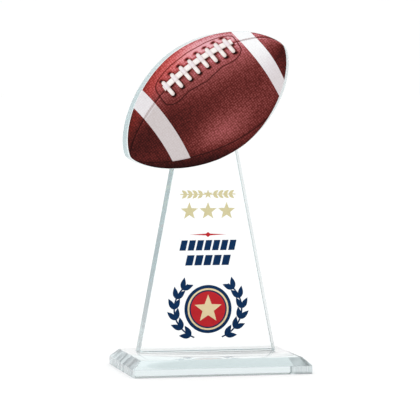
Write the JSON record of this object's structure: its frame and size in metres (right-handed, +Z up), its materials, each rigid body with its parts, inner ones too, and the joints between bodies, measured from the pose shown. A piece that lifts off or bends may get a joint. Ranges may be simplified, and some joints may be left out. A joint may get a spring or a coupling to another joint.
{
  "type": "football award trophy",
  "caption": "Free-standing clear glass award: a plaque cut as a tilted football on a tapered tower, with printed artwork, bonded upright on a bevelled glass base.",
  "frame": {"origin": "centre of the base's flat underside, on the surface it stands on", "axes": "+Z up, +X to the right as seen from the front, -Y out of the printed front face"},
  "size_m": [0.122, 0.09, 0.23],
  "materials": {
    "clear_glass": "polished, low-iron clear with a faint cyan edge tint",
    "cured_resin": "clear cured adhesive",
    "white_ink": "cured print underbase",
    "leather_ink": "maroon pebbled leather print, satin",
    "stripe_ink": "white leather print, satin",
    "lace_ink": "off-white lace print, satin",
    "seam_ink": "dark seam print, satin",
    "gold_ink": "pale gold print, satin",
    "red_ink": "red print, satin",
    "navy_ink": "navy print, satin",
    "cream_ink": "cream print, satin"
  },
  "bodies": {
    "root": {"base_block": "clear_glass", "plaque": "clear_glass", "bond_film": "cured_resin", "football_underbase": "white_ink", "near_tip_panel": "leather_ink", "near_stripe": "stripe_ink", "middle_panel": "leather_ink", "far_stripe": "stripe_ink", "far_tip_panel": "leather_ink", "lower_panel": "leather_ink", "near_seam": "seam_ink", "far_seam": "seam_ink", "lower_seam": "seam_ink", "lace_patch_seam": "seam_ink", "lace_strip": "lace_ink", "lace_bar_1": "lace_ink", "lace_bar_2": "lace_ink", "lace_bar_3": "lace_ink", "lace_bar_4": "lace_ink", "lace_bar_5": "lace_ink", "lace_bar_6": "lace_ink", "lace_bar_7": "lace_ink", "lace_bar_8": "lace_ink", "gold_sprig": "gold_ink", "gold_star_left": "gold_ink", "gold_star_middle": "gold_ink", "gold_star_right": "gold_ink", "red_rule": "red_ink", "upper_name_bar": "navy_ink", "lower_name_bar": "navy_ink", "medallion_rim": "navy_ink", "medallion_ring": "cream_ink", "medallion_disc": "red_ink", "medallion_star": "cream_ink", "wreath_left": "navy_ink", "wreath_right": "navy_ink"}
  },
  "joints": []
}
